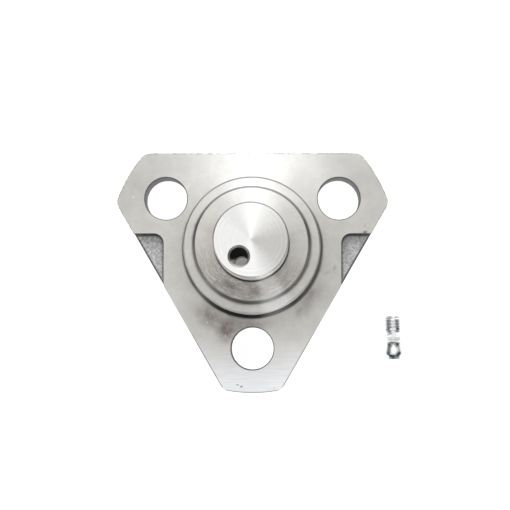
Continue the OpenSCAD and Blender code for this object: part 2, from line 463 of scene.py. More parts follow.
def from_spot(spot):
    """How far a place is from a spot, as seen from above."""
    offset = vector_calc(tree, "SUBTRACT", place, (*spot, 0))
    return vector_calc(tree, "LENGTH", vector_calc(tree, "MULTIPLY", offset, (1, 1, 0)))


hole_walls = [between(tree, from_spot(hole), BOLT_HOLE_R + 0.35, BOLT_HOLE_R + 0.2) for hole in HOLES]
drilled = both(tree, either(tree, *hole_walls), between(tree, xyz[2], 0.05, -0.05))
port_top = PORT_DEPTH - FLANGE_T
passage = both(tree, between(tree, from_spot(PASSAGE), PASSAGE_R + 0.2, PASSAGE_R + 0.05),
               stretch(tree, xyz[2], port_top - 0.2, port_top + 0.2, PIN_END - 0.9, PIN_END - 0.4))
print("drilled walls and the grease passage have masks")

# %% material: turned steel, where it is cast
level = calc(tree, "ABSOLUTE", facing)
upright = between(tree, level, 0.75, 0.5)
across = calc(tree, "ABSOLUTE", xyz[0])
below_face = between(tree, xyz[2], -0.02, -0.06)
in_pocket = both(tree, between(tree, across, POCKET_X - 0.04, POCKET_X - 0.02),
                 between(tree, xyz[1], POCKET_Y + 0.04, POCKET_Y + 0.02), below_face,
                 between(tree, xyz[2], -POCKET_DEPTH - 1.1, -POCKET_DEPTH - 0.9))
outer_side = both(tree, upright, between(tree, distance, SIDE_REACH - 0.3, SIDE_REACH - 0.1), below_face)
back_face = both(tree, between(tree, facing, -0.5, -0.7),
                 between(tree, xyz[2], 0.15 - FLANGE_T, 0.05 - FLANGE_T))
not_drilled = calc(tree, "SUBTRACT", 1.0, drilled)
cast = both(tree, either(tree, in_pocket, outer_side, back_face), not_drilled)
print("the pockets, the sides and the back are cast")

# %% material: turned steel, the painted shade along the pockets' walls
past_wall = calc(tree, "MAXIMUM", calc(tree, "SUBTRACT", POCKET_X + POCKET_R, across), 0.0)
past_end = calc(tree, "MAXIMUM", calc(tree, "SUBTRACT", xyz[1], POCKET_Y - POCKET_R), 0.0)
into_corner = vector_calc(tree, "LENGTH", vector_of(tree, past_wall, past_end))
from_wall = calc(tree, "SUBTRACT", POCKET_R, into_corner)
side_x, side_y = round_the_axis(1, 30)
to_edge = calc(tree, "SUBTRACT", calc(tree, "MULTIPLY", across, side_x),
               calc(tree, "MULTIPLY", xyz[1], side_y))
wall_shade = either(tree, between(tree, from_wall, 1.3, 0.1),
               between(tree, to_edge, SIDE_REACH - 0.9, SIDE_REACH - 0.3))
print("grime lies along the pockets' walls")

# %% [markdown]
# ## The corners at the foot of each step
# A fillet at the foot of a turned step faces the wall beside it, so it reflects that wall and
# looks dark; that shade is painted into its colour. The painted shade is strongest on the near
# side and all but gone on the far side, where the lamp stands. A narrow, brighter streak crosses
# the steps at the lower right: it has less painted shade, and above the boss it is a painted
# highlight.

# %% material: turned steel, the fillets' shade
FEET = [  # height of the face, fillet, how far the shade starts softly, strength, more on the near side
    (0.0, 1.8, 0.2, 0.53, 0.44),
    (BOSS_TOP, 1.7, 0.25, 0.31, 0.30),
    (SHOULDER_TOP, 0.7, 0.08, 0.6, 0.25),
]
round_xy = xyz_of(tree, direction)
near_side = between(tree, round_xy[1], -0.6, -0.98)
far_side = between(tree, round_xy[1], 0.5, 0.98)
streak_x, streak_y = round_the_axis(1, -68)
toward_streak = calc(tree, "MULTIPLY_ADD", round_xy[0], streak_x,
                     calc(tree, "MULTIPLY", round_xy[1], streak_y))
streak = between(tree, toward_streak, 0.955, 0.995)


def fillet_shade(face_z, fillet, soft, strength, more_near):
    in_fillet = stretch(tree, xyz[2], face_z + 0.01, face_z + soft,
                        face_z + fillet - 0.1, face_z + fillet + 0.1)
    share = calc(tree, "MULTIPLY_ADD", near_side, more_near, strength)
    off_far_side = calc(tree, "MULTIPLY_ADD", far_side, -0.95, 1.0)
    off_streak = calc(tree, "MULTIPLY_ADD", streak, -0.3, 1.0)
    return both(tree, in_fillet, share, off_far_side, off_streak)


foot = both(tree, between(tree, distance, BOSS_R + 3.0, BOSS_R + 2.5),
            either(tree, *[fillet_shade(*row) for row in FEET]))
print(len(FEET), "fillets have their shade")

# %% [markdown]
# ## The turned faces
# Bare turned steel is a warm grey that changes a little from ray to ray and from ring to ring.
# The rays are painted sheen, where the light breaks on the lathe marks. It is painted paler and
# more neutral on the far side, under the lamp's highlight, and it is darker on the flange's far
# half. At the near corner a cool, bright reflection is painted in, broken by straight strokes.

# %% material: turned steel, its colour
# the rays are painted sheen, where the light breaks on the lathe marks; the rings are tone
turned_colour = blend_colours(tree, rays, (0.675, 0.655, 0.62, 1), (0.82, 0.805, 0.77, 1))
ring_shade = blend_colours(tree, between(tree, rings, 0.3, 0.7), grey(0.975), grey(1.015))
turned_colour = shaded(tree, turned_colour, ring_shade)
# painted light: paler and more neutral on the far side, under the lamp's highlight
turned_colour = paint(tree, turned_colour, (0.79, 0.79, 0.785, 1), far_side, 0.7)
smears = noise(tree, place, scale=0.16, detail=5.0, rough=0.65)
smear_shade = blend_colours(tree, between(tree, smears, 0.3, 0.7), grey(0.93), grey(1.05))
turned_colour = shaded(tree, turned_colour, smear_shade)
# darker on the flange's far half
darker_far_half = both(tree, between(tree, distance, 29.0, 42.0), between(tree, xyz[1], 4.0, 24.0),
            between(tree, xyz[2], 2.0, 1.0))
turned_colour = paint(tree, turned_colour, shaded(tree, turned_colour, grey(0.87)), darker_far_half)
cool = between(tree, xyz[1], -24.0, -47.0)
strokes = vector_of(tree, calc(tree, "MULTIPLY", xyz[0], 0.12), calc(tree, "MULTIPLY", xyz[1], 1.3))
stroke_pattern = between(tree, noise(tree, strokes, detail=3.0, rough=0.6), 0.35, 0.65)
# painted reflection: the near corner is painted cool and bright, broken by straight strokes
stroked_reflection = blend_colours(tree, stroke_pattern, (0.91, 0.925, 0.96, 1), (0.985, 0.995, 1.0, 1))
turned_colour = paint(tree, turned_colour, stroked_reflection, cool)
print("turned faces coloured")

# %% material: turned steel, the shoulder's wear and painted shade, and the streak's painted highlight
on_shoulder = stretch(tree, xyz[2], SHOULDER_TOP - 0.1, SHOULDER_TOP - 0.05,
                      SHOULDER_TOP + 0.9, SHOULDER_TOP + 1.0)
speckle = noise(tree, place, scale=1.9, detail=3.0, rough=0.7)
all_dashes = calc(tree, "MULTIPLY_ADD", dashes, 0.35, calc(tree, "MULTIPLY", coarse_marks["Dashes"], 0.40))
brushed = calc(tree, "MULTIPLY_ADD", speckle, 0.25, all_dashes)
nearness = calc(tree, "MULTIPLY_ADD", round_xy[0], -0.12, calc(tree, "MULTIPLY", round_xy[1], -1.0))
# painted shade: the shoulder's dark grain is strongest on the near side, below the pin, and faint on the far side
near_side_shade = calc(tree, "MULTIPLY_ADD", between(tree, nearness, -0.1, 1.0), 0.92, 0.08)
worn_and_shaded = both(tree, on_shoulder, between(tree, brushed, 0.38, 0.57), near_side_shade,
            calc(tree, "MULTIPLY_ADD", streak, -0.6, 1.0))
above_boss = between(tree, xyz[2], BOSS_TOP - 1.5, BOSS_TOP - 0.5)
# painted highlight where the streak crosses the step above the boss
turned_colour = paint(tree, turned_colour, (1, 1, 0.99, 1), both(tree, streak, above_boss), 0.6)
# wear on the shoulder, darker on its near side as painted shade
turned_colour = paint(tree, turned_colour, (0.33, 0.295, 0.285, 1), worn_and_shaded, 0.75)
print("the shoulder is worn")

# %% [markdown]
# ## Stains, painted glints and painted shade, in their places
# The list holds each mark's place, half size, turn, how torn its edge is, how much of it shows
# and its colour. Brown stains lie below the boss, deepened there by painted shade. White spots are
# painted glints. A grey patch at the boss's near right is painted shade, and two dark patches on
# the shoulder's near side are a painted shadow of the pin.

# %% material: turned steel, stains, nicks, painted glints and painted shade
# the white of the painted glints in the list
GLINT_WHITE = (0.95, 0.95, 0.93)
STAINS_GLINTS_AND_SHADE = [  # x, y, z from, z to, half length, half width, turn in degrees, torn, strength, colour
    # brown stains below the boss, deepened by painted shade on the near side
    (-14.2, -22.4, -1, 1, 7.4, 5.0, -38, 0.5, 0.72, (0.24, 0.195, 0.185)),
    (-8.2, -26.8, -1, 1, 6.2, 4.8, 62, 0.5, 0.85, (0.20, 0.16, 0.15)),
    (-2.0, -25.4, -1, 1, 11.0, 3.6, 0, 0.6, 0.62, (0.24, 0.20, 0.185)),
    # painted shade beside the boss on its near right
    (19.0, -17.2, -1, 1, 10.5, 3.6, 50, 0.8, 0.45, (0.28, 0.26, 0.25)),
    # painted shadow of the pin on the shoulder's near side
    (-7.5, -13.4, 23, 24, 5.0, 2.4, -28, 1.8, 0.60, (0.16, 0.14, 0.13)),
    (0.8, -15.2, 23, 24, 5.0, 2.2, 5, 1.8, 0.50, (0.20, 0.16, 0.15)),
    (19.0, -15.2, -1, 1, 3.0, 1.4, 45, 1.6, 0.35, (0.22, 0.21, 0.20)),
    (15.3, -20.9, -1, 1, 2.2, 1.2, 45, 1.4, 0.40, (0.20, 0.19, 0.18)),
    (27.1, -6.4, -1, 1, 1.6, 0.8, 70, 1.2, 0.35, (0.25, 0.23, 0.22)),
    (24.5, -8.2, -1, 1, 2.0, 0.9, 30, 1.4, 0.28, (0.28, 0.26, 0.25)),
    (-4.9, -44.9, -1, 1, 0.8, 0.35, -20, 0.8, 0.75, (0.12, 0.11, 0.10)),
    (-3.6, -45.5, -1, 1, 0.8, 0.45, 10, 0.8, 0.80, (0.10, 0.10, 0.09)),
    (7.2, -46.0, -1, 1, 0.45, 0.3, 20, 0.6, 0.45, (0.30, 0.28, 0.27)),
    (-14.1, -38.5, -1, 1, 0.5, 0.3, -60, 0.6, 0.80, (0.12, 0.11, 0.10)),
    (-12.2, -41.8, -1, 1, 0.6, 0.4, -60, 0.6, 0.80, (0.12, 0.11, 0.10)),
    (37.2, 7.5, -1, 1, 0.5, 0.35, 80, 0.6, 0.60, (0.22, 0.18, 0.17)),
    (23.3, 24.4, -1, 1, 0.4, 0.3, 30, 0.6, 0.50, (0.30, 0.28, 0.26)),
    (37.2, 5.3, -6, 1, 1.1, 0.8, 15, 0.7, 0.90, (0.06, 0.06, 0.055)),
    # painted glints
    (-14.9, -24.4, -1, 1, 0.45, 0.25, 60, 0.9, 0.95, GLINT_WHITE),
    (-13.9, -22.6, -1, 1, 0.3, 0.2, 20, 0.9, 0.90, GLINT_WHITE),
    (-16.7, -29.9, -1, 1, 0.5, 0.3, -20, 0.9, 0.95, GLINT_WHITE),
    (-8.9, -28.8, -1, 1, 0.5, 0.25, 70, 0.9, 0.95, GLINT_WHITE),
    (-39.4, 17.0, -1, 1, 0.55, 0.4, -35, 0.9, 0.95, GLINT_WHITE),
    (-32.8, 30.2, -1, 1, 0.5, 0.2, 10, 0.9, 0.90, GLINT_WHITE),
    (36.9, 29.4, -1, 1, 0.5, 0.3, -40, 0.9, 0.90, GLINT_WHITE),
    (-21.4, 20.5, -1, 1, 1.6, 0.12, 52, 0.5, 0.90, GLINT_WHITE),
]


def spot_mask(middle, half_size, turn, torn):
    """The mask of one soft, torn spot, turned by so many degrees."""
    spot = use_group(tree, soft_spot, Place=place, Middle=middle, Turn=math.radians(turn), Torn=torn)
    spot.inputs["Half size"].default_value = half_size
    return spot.outputs["Mask"]


for x, y, z_low, z_high, length, width, turn, torn, strength, mark_colour in STAINS_GLINTS_AND_SHADE:
    mask = spot_mask((x, y, (z_low + z_high) / 2), (length, width, (z_high - z_low) * 2.0), turn, torn)
    turned_colour = paint(tree, turned_colour, (*mark_colour, 1), mask, strength)
print(len(STAINS_GLINTS_AND_SHADE), "stains and nicks")

# %% [markdown]
# ## The pin's end
# The end is faced last, with a sharper tool, so its rings are coarser. Its colour is painted
# brighter than the other faces, and darker on the far side, under the lamp's highlight. On the
# right only, the slanted flanks of its rings carry a painted reflection of the room's dark side.

# %% material: turned steel, the pin's end
SCRATCH_GLINTS = [  # x, y, half length, half width, turn in degrees, on the pin's end
    (9.4, 5.3, 0.8, 0.15, 50), (10.4, 4.1, 0.5, 0.16, -30), (11.3, 2.7, 0.6, 0.14, 80),
    (8.2, 8.0, 0.5, 0.15, 20), (5.4, -0.2, 0.35, 0.2, 0), (3.6, -1.6, 0.3, 0.2, 40),
    (6.3, 5.6, 0.3, 0.15, 60), (-6.2, 3.5, 0.5, 0.12, 40),
]
upward = between(tree, facing, 0.9, 0.97)
on_end = both(tree, between(tree, xyz[2], PIN_END - 0.1, PIN_END - 0.02), upward)
end_marks = calc(tree, "MULTIPLY_ADD", coarse_marks["Rings"], 0.55,
                 calc(tree, "MULTIPLY", coarse_marks["Dashes"], 0.45))
end_rings = between(tree, end_marks, 0.3, 0.7)
dark_side = between(tree, calc(tree, "MULTIPLY_ADD", coarse_marks["Rays"], 0.25, round_xy[0]), 0.25, 0.98)
# painted light: the end's colour is brighter than the other faces
end_colour = blend_colours(tree, end_rings, (0.90, 0.895, 0.88, 1), (0.99, 0.99, 0.98, 1))
# painted shade on the far side of the end, under the lamp's highlight
end_colour = paint(tree, end_colour, (0.73, 0.73, 0.72, 1), far_side, 0.85)
dark_colour = blend_colours(tree, end_rings, (0.75, 0.74, 0.715, 1), (0.86, 0.85, 0.825, 1))
# painted reflection of the room's dark side, on the right
end_colour = paint(tree, end_colour, dark_colour, dark_side, 0.85)
turned_colour = paint(tree, turned_colour, end_colour, on_end)
# real scratches, painted white as glints
for x, y, length, width, turn in SCRATCH_GLINTS:
    mask = spot_mask((x, y, PIN_END), (length, width, 2.0), turn, 0.7)
    turned_colour = paint(tree, turned_colour, grey(1), both(tree, mask, on_end), 0.95)
print("pin end faced, with", len(SCRATCH_GLINTS), "scratches")

# %% [markdown]
# ## Edges, walls and the passage
# The flange's rim has small nicks on its far half; some hold dirt and some carry painted glints.
# The rim is dark at the near corner. Drilled walls are painted dark, as shade, because little
# light gets in. In the grease passage, the part that the camera sees at the near side glows a
# little, as in the photograph; that glow is painted light.

# %% material: turned steel, cast skin and edges
skin = use_group(tree, cast_skin, Place=place).outputs
pocket_colour = blend_colours(tree, skin["Grain"], grey(0.52), grey(0.98))
cast_colour = blend_colours(tree, skin["Grain"], grey(0.36), grey(0.56))
cast_colour = paint(tree, cast_colour, pocket_colour, in_pocket)
# painted shade along the pockets' walls and their outer edge
cast_colour = paint(tree, cast_colour, grey(0.035), both(tree, wall_shade, in_pocket), 0.85)


def at_rim(how_far, reach):
    return between(tree, how_far, reach - 0.45, reach - 0.15)


at_face = between(tree, xyz[2], -0.3, -0.1)
rim = either(tree, at_rim(to_edge, SIDE_REACH), at_rim(distance, CORNER_REACH))
far_rim = both(tree, either(tree, rim, at_rim(xyz[1], SIDE_REACH)), between(tree, xyz[1], 2.0, 8.0), at_face)
near_rim = both(tree, rim, between(tree, xyz[1], -24.0, -34.0), at_face)
nicks = noise(tree, place, scale=1.1, detail=3.0, rough=0.8)
glinting_nicks = both(tree, far_rim, between(tree, nicks, 0.50, 0.60))
dirty_nicks = both(tree, far_rim, between(tree, nicks, 0.50, 0.40))
turned_colour = paint(tree, turned_colour, grey(0.2), far_rim, 0.3)
# painted glints on some of the nicks
turned_colour = paint(tree, turned_colour, grey(1), glinting_nicks, 0.8)
turned_colour = paint(tree, turned_colour, grey(0.2), dirty_nicks, 0.6)
print("cast skin and the rim's nicks coloured")

# %% material: turned steel, all its colours together
slope = both(tree, stretch(tree, level, 0.3, 0.45, 0.9, 0.97), between(tree, round_xy[1], -0.3, 0.3))
# painted shade in the fillets at the foot of each step
colour = paint(tree, turned_colour, grey(0.10), foot)
colour = paint(tree, colour, grey(0.12), near_rim, 0.7)
# painted shade on the slanted faces of the far half, its chamfers and fillets
colour = paint(tree, colour, grey(0.2), slope, 0.8)
# painted shade in the drilled walls and deep in the grease passage
colour = paint(tree, colour, grey(0.16), drilled)
colour = paint(tree, colour, grey(0.022), passage)
colour = paint(tree, colour, cast_colour, cast)
tree.links.new(colour, steel_shader.inputs["Base Color"])
VIEW_SLANT = 0.055  # how far the view moves across the bore in each millimetre of depth
depth = calc(tree, "SUBTRACT", PIN_END, xyz[2])
across_bore = calc(tree, "SUBTRACT", xyz[1], PASSAGE[1])
near_part = between(tree, calc(tree, "MULTIPLY_ADD", depth, -VIEW_SLANT, across_bore), -0.5, -1.9)
# painted light: the near part of the grease passage glows
glow = both(tree, passage, near_part, between(tree, skin["Grain"], -0.3, 1.1))
tree.links.new(paint(tree, grey(0), (1.0, 0.98, 0.94, 1), glow, 0.38), steel_shader.inputs["Emission Color"])
steel_shader.inputs["Emission Strength"].default_value = 1.0
print("the pin's colours are together")

# %% [markdown]
# ## Gloss and grain
# Turned faces are glossier than cast skin. Their reflections are stretched across the lathe
# marks: that is the anisotropy of the shader, with its direction taken from the circle round the
# axis. The tool's rings have slanted flanks, so the normals of level faces lean outwards a little.

# %% material: turned steel, gloss
end_rough = both(tree, on_end, round_xy[0])
machined_rough = calc(tree, "MULTIPLY_ADD", rays, 0.12, calc(tree, "MULTIPLY_ADD", end_rough, 0.08, 0.38))
machined_rough = calc(tree, "MULTIPLY_ADD", passage, 0.45, machined_rough)
feed(tree, steel_shader.inputs["Metallic"], calc(tree, "MULTIPLY_ADD", cast, -0.7, 1.0))
feed(tree, steel_shader.inputs["Roughness"], blend_colours(tree, cast, machined_rough, grey(0.62)))
print("turned faces glossy, cast skin dull")


# %% material: turned steel, grain and lean
def to_world(vector):
    """A direction on the object, turned into the world, where the shader needs it."""
    return add(tree, "VectorTransform", {0: vector}, vector_type="VECTOR",
               convert_from="OBJECT", convert_to="WORLD").outputs[0]


machined_flat = both(tree, calc(tree, "SUBTRACT", 1.0, cast), between(tree, level, 0.9, 0.97))
cast_relief = calc(tree, "MULTIPLY", skin["Height"], cast)
relief = calc(tree, "ADD", both(tree, rings, machined_flat, 0.02), cast_relief)
bump = add(tree, "Bump", {"Strength": 0.6, "Distance": 0.00022, "Height": relief})
outward = to_world(vector_calc(tree, "NORMALIZE", vector_of(tree, xyz[0], xyz[1])))
end_lean = both(tree, on_end, calc(tree, "MULTIPLY_ADD", round_xy[0], 0.08, -0.01))
face_lean = calc(tree, "MULTIPLY_ADD", cool, -0.05, 0.09)
lean = vector_calc(tree, "SCALE", outward, scale=both(tree, upward, calc(tree, "ADD", end_lean, face_lean)))
leaning = vector_calc(tree, "ADD", bump.outputs[0], lean)
feed(tree, steel_shader.inputs["Normal"], vector_calc(tree, "NORMALIZE", leaning))
round_axis = to_world(vector_of(tree, calc(tree, "MULTIPLY", xyz[1], -1.0), xyz[0]))
surface_normal = add(tree, "NewGeometry").outputs["Normal"]
across_marks = vector_calc(tree, "CROSS_PRODUCT", surface_normal, round_axis)
tree.links.new(across_marks, steel_shader.inputs["Tangent"])
steel_shader.inputs["Anisotropic"].default_value = 0.68
print("turned steel:", len(tree.nodes), "nodes")

# %% [markdown]
# ## The nipple's metals
# The nipple is plated with bright zinc, its ball is polished and its spring is drawn wire. They
# are plain metals with a little unevenness, because the real parts are only a few millimetres
# across. So small a part mirrors the room in a few hard patches. On the zinc they are painted
# into the colour, as painted highlights and painted reflections, and masks place them by how far
# along the nipple they lie and how far to the side.

# %% material: zinc, where its patches lie
zinc, tree, zinc_shader = new_material("bright zinc")
place = millimetres(tree)
xyz = xyz_of(tree, place)
cloud = noise(tree, place, scale=0.9, detail=3.0)
lean_x = math.sin(NIPPLE_TURN)
along = calc(tree, "SUBTRACT", NIPPLE_Y + NIPPLE_L / 2, xyz[1])
axis_x = calc(tree, "MULTIPLY_ADD", along, lean_x, NIPPLE_X - NIPPLE_L / 2 * lean_x)
aside = calc(tree, "SUBTRACT", xyz[0], axis_x)
beside = calc(tree, "ABSOLUTE", aside)
above_axis = calc(tree, "SUBTRACT", xyz[2], NIPPLE_AXIS_Z)
from_axis = vector_calc(tree, "LENGTH", vector_of(tree, aside, above_axis))
middle = both(tree, between(tree, beside, 0.95, 0.6), between(tree, along, NECK_Z, NECK_Z - 0.2))
top_facet = both(tree, between(tree, facing_up(tree), 0.97, 0.99),
                 stretch(tree, along, THREAD_L - 0.1, THREAD_L + 0.1, NECK_Z - 0.1, NECK_Z + 0.1))
roots = both(tree, between(tree, from_axis, 2.82, 2.6), between(tree, along, THREAD_L + 0.1, THREAD_L - 0.2),
             stretch(tree, beside, 0.4, 0.9, 1.9, 2.4))
neck = both(tree, stretch(tree, along, NECK_Z - 0.6, NECK_Z - 0.3, NECK_Z + 1.1, NECK_Z + 1.7),
            between(tree, beside, 2.4, 2.0))
cheeks = both(tree, stretch(tree, along, NECK_Z + 1.2, NECK_Z + 1.6, NECK_Z + 3.3, NECK_Z + 3.7),
              stretch(tree, beside, 1.2, 1.6, 2.3, 2.7))
taper = both(tree, stretch(tree, along, NECK_Z + 3.7, NECK_Z + 4.0, NIPPLE_L - 0.3, NIPPLE_L - 0.1),
             between(tree, beside, 2.0, 1.6))
facet = both(tree, top_facet, between(tree, cloud, 0.2, 0.5),
             stretch(tree, along, THREAD_L + 1.55, THREAD_L + 1.8, NECK_Z - 0.95, NECK_Z - 0.7))
print("the zinc's patches have masks")

# %% material: zinc, put together
# white patches are painted highlights; dark ones are painted reflections of the room, and at the thread's roots painted
# shade
PATCHES = [  # mask, strength, colour
    (middle, 0.9, (0.97, 0.97, 0.97, 1)), (top_facet, 0.9, (0.97, 0.97, 0.97, 1)),
    (roots, 0.5, (0.40, 0.42, 0.39, 1)), (neck, 0.65, (0.24, 0.25, 0.24, 1)),
    (cheeks, 0.35, (0.30, 0.31, 0.31, 1)), (taper, 0.75, (0.10, 0.13, 0.16, 1)),
    (facet, 0.6, (0.42, 0.43, 0.42, 1)),
]
zinc_colour = blend_colours(tree, cloud, (0.74, 0.76, 0.78, 1), (0.88, 0.89, 0.90, 1))
for mask, strength, patch in PATCHES:
    zinc_colour = paint(tree, zinc_colour, patch, mask, strength)
tree.links.new(zinc_colour, zinc_shader.inputs["Base Color"])
feed(tree, zinc_shader.inputs["Roughness"], calc(tree, "MULTIPLY_ADD", cloud, 0.14, 0.24))
off_roots = calc(tree, "MULTIPLY_ADD", roots, -0.5, 1.0)
feed(tree, zinc_shader.inputs["Metallic"], calc(tree, "MULTIPLY_ADD", middle, -0.5, off_roots))
print("bright zinc:", len(tree.nodes), "nodes")


# %% materials: ball and spring
def small_part_steel(name, roughness, scale, low, high):
    """A metal whose grey varies a little from place to place."""
    material, tree, shader = new_material(name, roughness)
    uneven = blend_colours(tree, noise(tree, millimetres(tree), scale=scale), grey(low), grey(high))
    tree.links.new(uneven, shader.inputs["Base Color"])
    return material


def give(piece, material):
    piece.data.materials.clear()
    piece.data.materials.append(material)


ball_steel = small_part_steel("polished ball", 0.08, 2.0, 0.55, 0.65)
spring_steel = small_part_steel("spring wire", 0.3, 4.0, 0.45, 0.6)
give(nodes["pivot_pin"], steel)
give(nodes["nipple_ball"], ball_steel)
print("pin and ball have their metals; the zinc and the wire are for the pieces that are modelled below")

# %% [markdown]
# ## The grease nipple, turned, milled and threaded
# The real nipple starts as a hexagonal bar. A lathe turns both ends and the two slanted
# shoulders of the hexagon, a die cuts the thread, and a drill opens the grease way. The model
# follows the same steps. Round pieces grow ring by ring from a circle, the way a profile is
# turned. Booleans then join and cut them, so that edges meet as they do on the metal.

# %% lathe helpers
def pick(piece):
    """Selects this piece alone, so that the next operator acts on nothing else."""
    bpy.ops.object.select_all(action="DESELECT")
    piece.select_set(True)
    bpy.context.view_layer.objects.active = piece


def turn_on_lathe(name, profile, sides=64):
    """A closed round piece on the Z axis, from (radius, height) pairs in millimetres."""
    bpy.ops.object.select_all(action="DESELECT")
    radius, height = profile[0]
    bpy.ops.mesh.primitive_circle_add(vertices=sides, radius=radius * MM, fill_type="NGON",
                                      location=(0, 0, height * MM))
    piece = bpy.context.object
    piece.name = name
    bpy.ops.object.transform_apply(location=True)
    bpy.ops.object.mode_set(mode="EDIT")
    bpy.ops.mesh.select_all(action="SELECT")
    for next_radius, next_height in profile[1:]:
        rise = (0, 0, (next_height - height) * MM)
        bpy.ops.mesh.extrude_region_move(TRANSFORM_OT_translate={"value": rise})
        bpy.ops.transform.resize(value=(next_radius / radius, next_radius / radius, 1))
        radius, height = next_radius, next_height
    bpy.ops.mesh.select_all(action="SELECT")
    bpy.ops.mesh.normals_make_consistent(inside=False)
    bpy.ops.object.mode_set(mode="OBJECT")
    return piece


def shape_with(piece, tool, operation):
    """Joins the tool to the piece, cuts it away or keeps what both share, and takes the tool away."""
    pick(piece)
    bpy.ops.object.modifier_add(type="BOOLEAN")
    modifier = piece.modifiers[-1]
    modifier.object, modifier.operation, modifier.solver = tool, operation, "EXACT"
    bpy.ops.object.modifier_apply(modifier=modifier.name)
    bpy.data.objects.remove(tool)


print("lathe ready")

# %% nipple blank: shank, neck and head
THREAD_R, LEAD_L, UNDERCUT_R = 3.0, 1.0, 2.5
NECK_R, HEAD_R, TIP_R = 2.45, 3.25, 1.98
nipple = turn_on_lathe("grease_nipple", [
    (THREAD_R - LEAD_L, 0), (THREAD_R - 0.3, LEAD_L * 0.7), (THREAD_R, LEAD_L + 0.2),
    (THREAD_R, THREAD_L - 0.75), (UNDERCUT_R, THREAD_L - 0.45), (UNDERCUT_R, THREAD_L + 0.5)])
head = turn_on_lathe("head", [
    (NECK_R, NECK_Z - 0.5), (NECK_R, NECK_Z + 0.75), (NECK_R + 0.15, NECK_Z + 1.05),
    (HEAD_R - 0.13, NECK_Z + 2.65), (HEAD_R, NECK_Z + 2.95), (HEAD_R, NECK_Z + 3.85),
    (HEAD_R - 0.13, NECK_Z + 4.1), (TIP_R + 0.17, NIPPLE_L - 0.15), (TIP_R, NIPPLE_L)])
print("nipple length in mm:", NIPPLE_L)

# %% thread
PITCH, TURNS, THREAD_DEPTH, HALF_GROOVE, OVERCUT = 1.0, 5, 0.58, 0.47, 0.12
bpy.ops.object.select_all(action="DESELECT")
bpy.ops.mesh.primitive_circle_add(vertices=3, radius=0.5 * MM, fill_type="NOTHING", location=(0, 0, 0))
cutter = bpy.context.object
groove = [(THREAD_R + OVERCUT, -HALF_GROOVE), (THREAD_R - THREAD_DEPTH, 0.0),
          (THREAD_R + OVERCUT, HALF_GROOVE)]
for vertex, (out, up) in zip(cutter.data.vertices, groove):
    vertex.co = (out * MM, 0, (up - 0.6) * MM)
bpy.ops.object.modifier_add(type="SCREW")
screw = cutter.modifiers[-1]
screw.steps = screw.render_steps = 40
screw.iterations, screw.screw_offset = TURNS, PITCH * MM
screw.use_merge_vertices = False
bpy.ops.object.modifier_apply(modifier=screw.name)
bpy.ops.object.mode_set(mode="EDIT")
bpy.ops.mesh.select_all(action="SELECT")
bpy.ops.mesh.fill_holes(sides=3)
bpy.ops.mesh.select_all(action="SELECT")
bpy.ops.mesh.normals_make_consistent(inside=False)
bpy.ops.object.mode_set(mode="OBJECT")
shape_with(nipple, cutter, "DIFFERENCE")
print("thread cut:", len(nipple.data.polygons), "faces")

# %% hexagon
HEX_R = HEX_AF / 2 / math.cos(math.radians(30))
bpy.ops.object.select_all(action="DESELECT")
bpy.ops.mesh.primitive_cylinder_add(
    vertices=6, radius=HEX_R * MM, depth=HEX_L * MM, location=(0, 0, (THREAD_L + HEX_L / 2) * MM),
    rotation=(0, 0, math.radians(30)))
hexagon = bpy.context.object
bpy.ops.object.transform_apply(location=True, rotation=True)
slant = HEX_R - THREAD_R
shape_with(hexagon, turn_on_lathe("slanted shoulders", [
    (THREAD_R, THREAD_L - 0.001), (HEX_R + 0.02, THREAD_L + slant + 0.02),
    (HEX_R + 0.02, NECK_Z - slant - 0.02), (THREAD_R, NECK_Z + 0.001)]), "INTERSECT")
print("hexagon", len(hexagon.data.polygons), "faces")

# %% join and drill the nipple
LIP_R, BORE_R, ORIFICE_R, MOUTH_R = 0.85, 1.45, 0.9, 1.3
shape_with(nipple, hexagon, "UNION")
shape_with(nipple, head, "UNION")
shape_with(nipple, turn_on_lathe("grease way", [
    (LIP_R, -0.5), (LIP_R, 0.5), (BORE_R, 0.502), (BORE_R, NIPPLE_L - BORE_R),
    (ORIFICE_R, NIPPLE_L - ORIFICE_R), (ORIFICE_R, NIPPLE_L - 0.35), (MOUTH_R, NIPPLE_L + 0.05)],
    sides=32), "DIFFERENCE")
print("grease way drilled:", len(nipple.data.polygons), "faces")

# %% lay the nipple down
lies = (Matrix.Translation(Vector((NIPPLE_X, NIPPLE_Y, NIPPLE_AXIS_Z)) * MM)
        @ Matrix.Rotation(NIPPLE_TURN, 4, "Z") @ Matrix.Rotation(math.radians(90), 4, "X")
        @ Matrix.Translation((0, 0, -NIPPLE_L / 2 * MM)))
nipple.matrix_world = lies
pick(nipple)
bpy.ops.object.transform_apply(location=True, rotation=True, scale=True)
bpy.ops.object.mode_set(mode="EDIT")
bpy.ops.mesh.select_all(action="SELECT")
bpy.ops.mesh.remove_doubles(threshold=0.000002)
bpy.ops.mesh.normals_make_consistent(inside=False)
bpy.ops.object.mode_set(mode="OBJECT")
bpy.ops.object.shade_smooth_by_angle(angle=math.radians(32))
give(nipple, zinc)
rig.ride(nipple, "pin")
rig.replaces(nipple, "nipple_body")
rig.slot(nipple, "zinc_steel")
print("nipple:", len(nipple.data.polygons), "faces")

# %% [markdown]
# ## The check spring
# Inside the nipple a spring presses the ball on its seat. When grease is pumped in, the ball
# moves back by 0.8 mm and the spring gets that much shorter, so a stiff copy would let the
# ball cut into its end. This piece is a new object with a welded copy of the CAD spring's mesh,
# and it stands for that part. A duplicated object would also carry the CAD part's own label,
# which is only true of the part itself. The piece flattens along the nipple's axis, towards the
# lip that holds its other end. Its two ends are measured at the middle of the wire.

